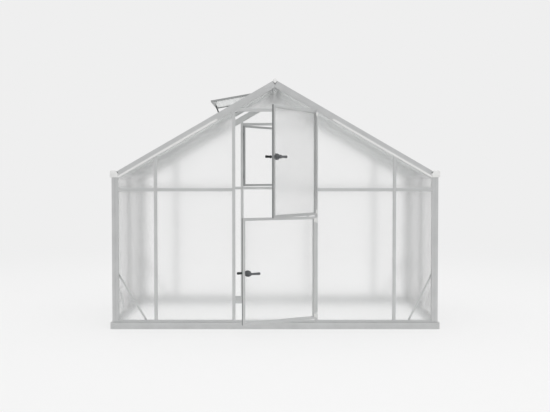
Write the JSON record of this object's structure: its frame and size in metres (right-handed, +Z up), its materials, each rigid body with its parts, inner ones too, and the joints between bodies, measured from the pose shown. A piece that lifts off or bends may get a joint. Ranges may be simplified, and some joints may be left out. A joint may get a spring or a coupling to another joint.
{
  "type": "polycarbonate greenhouse",
  "caption": "Walk-in garden greenhouse with an aluminium frame, polycarbonate sheets, gable roof, roof vent, back window and a two-part front door.",
  "frame": {"origin": "on the ground, at the middle of the whole object's bounding box with its doors and window as they stand at rest", "axes": "+Z up; +X to the right seen from the door; the door wall faces -Y and the ridge runs along Y"},
  "size_m": [3, 2.7921, 2.2787],
  "materials": {
    "aluminium": "satin, mill finished profiles",
    "polycarbonate": "translucent multi-wall polycarbonate sheet",
    "pale_plastic": "smooth moulded plastic",
    "black_plastic": "black moulded nylon and coated steel"
  },
  "bodies": {
    "house": {"base_front": "aluminium", "base_back": "aluminium", "base_left": "aluminium", "base_right": "aluminium", "sills": "aluminium", "corner_posts": "aluminium", "front_posts": "aluminium", "back_posts": "aluminium", "side_posts": "aluminium", "front_rails": "aluminium", "back_rails": "aluminium", "side_rails": "aluminium", "door_head": "aluminium", "front_rafters": "aluminium", "middle_rafters": "aluminium", "back_rafters": "aluminium", "ridge_beam": "aluminium", "gutter_left": "aluminium", "gutter_right": "aluminium", "end_caps": "pale_plastic", "corner_braces": "aluminium", "front_sheets": "polycarbonate", "back_sheets": "polycarbonate", "left_sheets": "polycarbonate", "right_sheets": "polycarbonate", "roof_sheets_left": "polycarbonate", "roof_sheets_right": "polycarbonate", "vent_bar": "aluminium", "vent_frame": "aluminium", "vent_sheet": "polycarbonate", "vent_fittings": "black_plastic", "window_frame": "aluminium", "window_sheet": "polycarbonate", "window_fittings": "black_plastic", "hinge_brackets": "pale_plastic"},
    "lower_leaf": {"lower_leaf_frame": "aluminium", "lower_leaf_sheet": "polycarbonate", "lower_leaf_hinges": "pale_plastic", "lower_lock_plates": "black_plastic"},
    "upper_leaf": {"upper_leaf_frame": "aluminium", "upper_leaf_sheet": "polycarbonate", "upper_leaf_hinges": "pale_plastic", "upper_lock_plates": "black_plastic"},
    "lower_handle": {"lower_handle": "black_plastic"},
    "upper_handle": {"upper_handle": "black_plastic"}
  },
  "joints": [
    {"name": "lower_leaf_hinge", "type": "hinge", "parent": "house", "child": "lower_leaf", "pos_m": [0.375, -0.76, 0.563], "axis": [0, 0, 1], "range_deg": [-27.5, 82.5]},
    {"name": "upper_leaf_hinge", "type": "hinge", "parent": "house", "child": "upper_leaf", "pos_m": [0.375, -0.76, 1.514], "axis": [0, 0, 1], "range_deg": [-58, 52]},
    {"name": "lower_handle_turn", "type": "hinge", "parent": "lower_leaf", "child": "lower_handle", "pos_m": [-0.23615, -1.07814, 0.545], "axis": [-0.4617, 0.887, 0], "range_deg": [0, 90]},
    {"name": "upper_handle_turn", "type": "hinge", "parent": "upper_leaf", "child": "upper_handle", "pos_m": [0.00989, -1.34431, 1.554], "axis": [-0.848, 0.5299, 0], "range_deg": [0, 90]}
  ]
}
